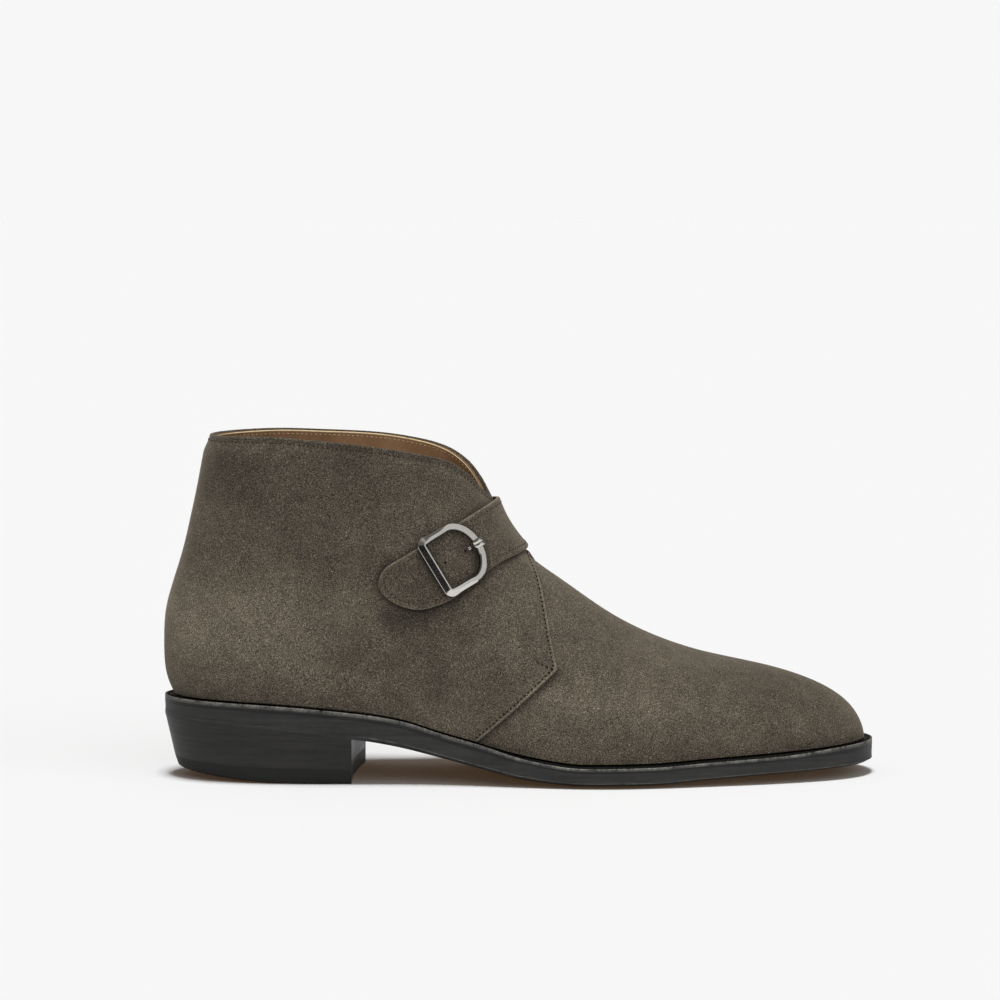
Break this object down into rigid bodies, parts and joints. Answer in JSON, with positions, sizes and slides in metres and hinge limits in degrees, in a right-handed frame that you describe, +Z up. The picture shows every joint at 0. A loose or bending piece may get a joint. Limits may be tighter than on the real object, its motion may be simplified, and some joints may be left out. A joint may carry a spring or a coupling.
{
  "type": "suede ankle boot",
  "caption": "Right-foot suede ankle boot: hollow lasted upper with stitched quarters, an instep strap with a fastened D buckle, black welted sole with arch and toe spring, stacked heel.",
  "frame": {"origin": "on the floor, under the middle of the boot's box", "axes": "+X towards the toe, +Z up, -Y the outer side of the foot"},
  "size_m": [0.302, 0.0958, 0.1452],
  "materials": {
    "suede": "grey-brown suede, brushed nap",
    "nickel": "polished nickel",
    "insole_leather": "smooth tan leather",
    "sole_black": "black, burnished edge",
    "rubber": "matt black rubber"
  },
  "bodies": {
    "root": {"upper": "suede", "quarter_lateral": "suede", "quarter_medial": "suede", "strap": "suede", "buckle_frame": "nickel", "buckle_prong": "nickel", "insole": "insole_leather", "welt": "sole_black", "outsole": "sole_black", "heel_stack": "sole_black", "heel_top_lift": "rubber"}
  },
  "joints": []
}
